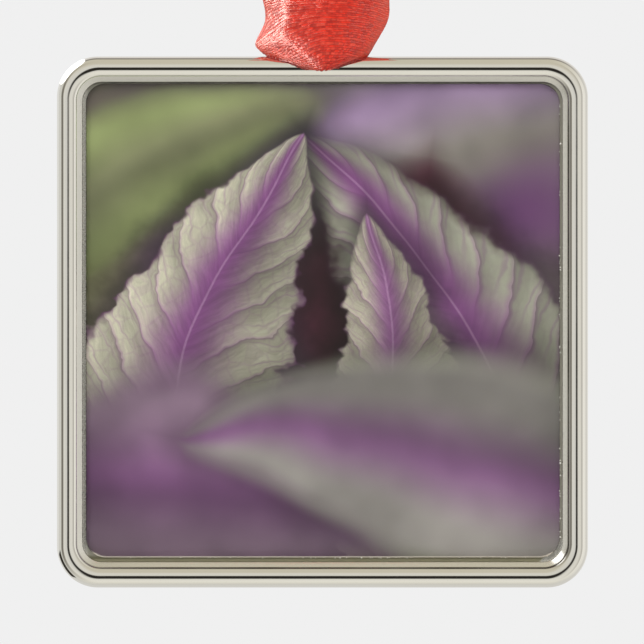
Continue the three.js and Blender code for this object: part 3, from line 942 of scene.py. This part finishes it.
def back_stations():
    """The back leg: the front one mirrored, a little narrower, and turned about past the knot."""
    stations = []
    for left, middle, right in RIBBON_STATIONS:
        if middle[2] > LOOP_HEIGHT + KNOT_RISE:
            stations.append([(-x, -y, z) for x, y, z in (right, middle, left)])
        else:
            stations.append([(x * BACK_LEG_NARROWING, -y, z) for x, y, z in (left, middle, right)])
    return stations


def smooth_step(value, low, high):
    t = np.clip((value - low) / (high - low), 0, 1)
    return t * t * (3 - 2 * t)


def creased_section(across, crease, rise):
    """Forward bulge of a cross-section: nearly flat on its left side up to a crease, and round beyond."""
    flat = rise * (across + 1) / (crease + 1)
    left = 1 - 0.36 * across ** 2 - 0.64 * across ** 6
    right = 1 - 0.62 * across ** 2 - 0.38 * across ** 4
    crown = np.where(across < 0, left, right)
    overlap = np.clip(0.5 + 0.5 * (crown - flat) / CREASE_ROUND, 0, 1)
    return crown * (1 - overlap) + flat * overlap - CREASE_ROUND * overlap * (1 - overlap)


def leg_rows(stations, creased):
    """Cross-sections of a leg as arrays of points from left to right, and how far their hems turn under."""
    rng = np.random.default_rng(5)
    angles = np.linspace(-CURL_ANGLE, CURL_ANGLE, RIBBON_COLUMNS)
    across = np.sin(angles) / math.sin(CURL_ANGLE)
    bulge = (np.cos(angles) - math.cos(CURL_ANGLE)) / (1 - math.cos(CURL_ANGLE))
    rows, turns = [], []
    for number in station_numbers():
        left, middle, right = (catmull_rom([row[column] for row in stations], number) for column in range(3))
        centre = (left + right) / 2
        place = CREASE_ACROSS + rng.uniform(-CREASE_JITTER, CREASE_JITTER)
        low = smooth_step(middle[2], 0, CREASE_FULL)
        crease = creased_section(across, place, CREASE_RISE * (CREASE_LOW + (1 - CREASE_LOW) * low))
        weight = creased * (1 - smooth_step(middle[2], *CREASE_FADE))
        forward = bulge + (crease - bulge) * weight
        row = centre + across[:, None] * (right - centre) + forward[:, None] * (middle - centre)
        turned = creased * smooth_step(number, *TURN_STARTS) * (1 - smooth_step(number, *TURN_ENDS))
        left_hem, right_hem = hem(row[0], row[1], turned), hem(row[-1], row[-2], turned)
        rows.append(np.array([*left_hem[::-1], *row, *right_hem]))
        turns.append(turned)
    return rows, turns


def hem(edge, inner, turned):
    """The woven edge past a row's last point, as two points. Turned under, it runs back to the metal."""
    out = (edge - inner) / np.linalg.norm(edge - inner)
    last = edge + (1 - turned) * HEM_WIDTH * out + turned * np.array(HEM_TURN)
    last[1] += turned * min(bead_front(last[2]) - HEM_CLEARANCE - last[1], 0)
    return edge + HEM_NEAR * (last - edge), last


def bead_front(height):
    """The y of the frame's outer bead at a height above the slot's centre, all in millimetres."""
    radius = BEAD_RADIUS / MM
    inset = SLOT_INSET / MM - height
    if inset < 0:
        return 0
    off_crest = 1 - min(inset / radius, 1)
    return FRONT_Y / MM + radius * (1 - math.sqrt(1 - off_crest ** 2))


def cloth_normals(grid):
    along = np.gradient(grid, axis=0)
    across = np.gradient(grid, axis=1)
    normals = np.cross(across, along)
    return normals / np.maximum(np.linalg.norm(normals, axis=2, keepdims=True), 1e-9)


def ribbon_grid():
    """The whole cloth from one tail, round through the slot, to the other tail.

    Returns its points, each row's length along it, each column's place across it, and where its turned-under
    hem is painted dark as shade.
    """
    front, front_turns = leg_rows(RIBBON_STATIONS, creased=True)
    back, back_turns = leg_rows(back_stations(), creased=False)
    grid = np.array(back[:0:-1] + front)
    under = np.zeros(grid.shape[:2])
    under[:, [0, 1, -2, -1]] = np.array(back_turns[:0:-1] + front_turns)[:, None]
    steps = np.linalg.norm(np.diff(grid.mean(axis=1), axis=0), axis=1)
    along = np.concatenate([[0], np.cumsum(steps)])
    fraction = np.array([-0.01, -0.001, *np.linspace(0, 1, RIBBON_COLUMNS), 1.001, 1.01])
    chord = np.linalg.norm(grid[:, -1] - grid[:, 0], axis=1)
    near_slot = grid[:, :, 2].mean(axis=1) < FINE_HEIGHT
    open_chord = np.where(near_slot, SLOT_OPEN_CHORD, KNOT_OPEN_CHORD)
    bunched = np.clip(1 - chord / open_chord, 0, 1) ** np.where(near_slot, 1, 1.3)
    opened = np.clip(chord / KNOT_OPEN_CHORD, 0, 1)
    run, part = along[:, None], fraction[None, :]
    pleats = np.cos(2 * math.pi * PLEATS * part + 0.25 * np.sin(run * 0.21))
    soft = sum(
        height * np.sin(2 * math.pi * (turns * part + run / length) + phase)
        for height, turns, length, phase in SOFT_WAVES
    )
    depth = PLEAT_DEPTH * bunched[:, None] * pleats + soft * opened[:, None]
    grid = grid + cloth_normals(grid) * depth[:, :, None]
    rng = np.random.default_rng(11)
    loops = rng.uniform(0, LOOSE_LOOPS, (len(grid), 2)) + LOOP_PAIR * (np.arange(len(grid)) % 2)[:, None]
    grid[:, 0] += (grid[:, 1] - grid[:, 0]) * loops[:, :1]
    grid[:, -1] += (grid[:, -2] - grid[:, -1]) * loops[:, 1:]
    return grid, along, fraction, under


def ribbon_cloth():
    """Red satin: ribs across the cloth, each a row of short floating threads that shine in dashes."""
    material, g = new_material("ribbon")
    across, along, under = g.separate(g.attribute("cloth", "Vector"))
    drift = g.noise(g.combine(across * 0.5, along * 0.9), 1.0, 1.0)
    turns = drift.times_plus(1.2, along / RIB_PITCH)
    rib = g.math("FLOOR", turns)
    row = g.get("TexWhiteNoise", {"W": rib}, "Value", noise_dimensions="1D")
    place = across.times_plus(1 / FLOAT_LENGTH, rib.times_plus(0.5, row * FLOAT_JITTER))
    which = g.combine(rib, g.math("FLOOR", place))
    thread = g.outputs("TexWhiteNoise", {"Vector": which}, noise_dimensions="2D")
    chance = g.smooth(g.noise(g.combine(across * 1.3, rib * 7.3), 1.0), 0.3, 0.7)
    beside = g.math("FRACT", turns).times_plus(2.0, -1.0)
    off_middle = abs(g.math("FRACT", place).times_plus(2.0, -1.0))
    arch = (off_middle ** 3.0).times_plus(-0.5, 1.0)
    height = (1.0 - beside * beside) * arch * chance.times_plus(0.7, 0.35)
    lean = g.vector("SUBTRACT", thread["Color"], (0.5, 0.5, 0.5))
    normal = g.vector("ADD", g.bump(height, RIB_HEIGHT * MM), g.scaled(lean, THREAD_LEAN))
    normal = g.vector("NORMALIZE", normal)
    broad = g.noise(g.combine(across, along), 0.12)
    every_second = g.math("PINGPONG", rib, 1.0)
    colour = g.mix(chance, *THREAD_REDS)
    for amount, over in (
        # Painted shade in the valleys between the ribs
        (g.smooth(height, 0.0, 0.5, 0.75, 0.0), PAINTED_VALLEY_SHADE),
        (g.smooth(broad, 0.3, 0.7, 0.0, 0.25), BROAD_RED),
        (g.smooth(thread["Value"], 0.3, 1.0, 0.0, 0.5), DARK_THREAD),
        (every_second * g.smooth(chance, 0.2, 0.9, 0.05, 0.4), PALE_RIB),
        # Painted sheen: the cloth paler towards both its edges
        (g.smooth(abs(across), 6.0, 9.8, 0.0, 0.5), PAINTED_EDGE_SHEEN),
        # Painted shade on the turned-under hem, where the cloth's reverse shows
        (under * 0.95, PAINTED_HEM_SHADE),
    ):
        colour = g.mix(amount, colour, over)
    front = principled(
        g, Base_Color=colour, Roughness=0.38, Normal=normal, Specular_IOR_Level=0.5,
        Sheen_Weight=0.12, Sheen_Roughness=0.35, Sheen_Tint=(1.0, 0.58, 0.45, 1),
    )
    through = g.get("BsdfTranslucent", {"Color": g.mix(0.5, colour, THROUGH_RED)})
    finish_material(g, g.mix_shaders(TRANSLUCENCY, front, through))
    return material


def cloth_mesh(name, grid, along, fraction, under=0, skew=0, closed_rows=False):
    """A mesh of the grid's points. Its attribute cloth holds millimetres across and along the weave, and how
    far painted shade darkens the cloth's turned-under hem, from 0 to 1."""
    rows, columns = grid.shape[:2]
    verts = grid.reshape(-1, 3) * MM + np.array([0, 0, SLOT_Z])
    faces = []
    for row in range(rows if closed_rows else rows - 1):
        for column in range(columns - 1):
            a, b = row * columns + column, (row + 1) % rows * columns + column
            faces.append((a, a + 1, b + 1, b))
    piece = mesh_object(name, verts, faces)
    weave = np.zeros((rows, columns, 3))
    weave[:, :, 0] = (fraction - 0.5) * RIBBON_WIDTH / MM
    weave[:, :, 1] = along[:, None] + skew
    weave[:, :, 2] = under
    layer = piece.data.attributes.new("cloth", "FLOAT_VECTOR", "POINT")
    layer.data.foreach_set("vector", weave.ravel())
    return piece


def make_ribbon():
    material = ribbon_cloth()
    grid, along, fraction, under = ribbon_grid()
    low = 1 - smooth_step(grid[:, :, 2], 0, SKEW_END)
    low_left = np.minimum(grid[:, :, 0], 0) * (grid[:, :, 1] < 0) * low
    ribbon = cloth_mesh("ribbon_cloth", grid, along, fraction, under, RIB_SKEW * low_left)
    thick = ribbon.modifiers.new("thickness", "SOLIDIFY")
    thick.thickness = CLOTH_THICKNESS
    thick.offset = 0
    ribbon.data.materials.append(material)
    knot = make_knot(material)
    for piece in (ribbon, knot):
        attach(piece, "root")
        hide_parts("ribbon")


# The knot's two turns, in millimetres and radians
WRAP_RADIUS = 2.7
WRAP_THICKNESS = 2.2
WRAP_HEIGHT = 5
WRAP_FLATNESS = 0.78  # depth to width
WRAP_TILT = 0.38
WRAP_LENGTH = 17  # of cloth round each turn
RING_STEPS, TUBE_STEPS = 160, 96


def make_knot(material):
    """Two turns of folded ribbon round the legs, each a flattened ring with pleats along it."""
    turn = np.linspace(0, 2 * math.pi, RING_STEPS, endpoint=False)[:, None]
    round_tube = np.linspace(0, 2 * math.pi, TUBE_STEPS)[None, :]
    pieces = []
    for number, tilt in enumerate((WRAP_TILT, -WRAP_TILT)):
        drift = 0.5 * np.sin(turn + number * 2.0) + 0.2 * np.sin(2 * turn + 1.0)
        folds = 0.10 * np.cos(9 * round_tube + 2 * drift) + 0.05 * np.cos(17 * round_tube - 3 * drift + number)
        squeeze = 1 - 0.16 * np.cos(2 * turn + 0.4 * number)
        tube = WRAP_THICKNESS / 2 * (1 + folds - 0.06) * np.ones_like(turn)
        radial = WRAP_RADIUS + tube * np.cos(round_tube)
        x = radial * np.cos(turn)
        y = radial * np.sin(turn) * WRAP_FLATNESS
        z = tube * np.sin(round_tube) * WRAP_HEIGHT / WRAP_THICKNESS * squeeze
        cos, sin = math.cos(tilt), math.sin(tilt)
        grid = np.stack([x * cos + z * sin, y, z * cos - x * sin + LOOP_HEIGHT + KNOT_RISE], axis=2)
        along, fraction = np.linspace(0, WRAP_LENGTH, RING_STEPS), np.linspace(0, 1, TUBE_STEPS)
        pieces.append(cloth_mesh(f"ribbon_wrap_{number}", grid, along, fraction, closed_rows=True))
    knot = joined("ribbon_knot", pieces)
    knot.data.materials.append(material)
    return knot


def joined(name, pieces):
    """One object from several, which are removed."""
    with bpy.context.temp_override(active_object=pieces[0], selected_editable_objects=pieces):
        bpy.ops.object.join()
    pieces[0].name = pieces[0].data.name = name
    return pieces[0]


# ---- The scene ----

SCENE.view_settings.view_transform = "Standard"
SCENE.view_settings.look = "None"
make_world()
make_floor()
make_frame()
panel_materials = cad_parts["printed_panel"].data.materials
panel_materials.clear()
panel_materials.append(printed_sheet())
make_cover()
make_bubbles()
make_ribbon()
area_light("soft_front", (-0.12, -0.8, 0.45), (0, 0, MIDDLE_Z), (0.7, 0.7), 5)
light_satin()
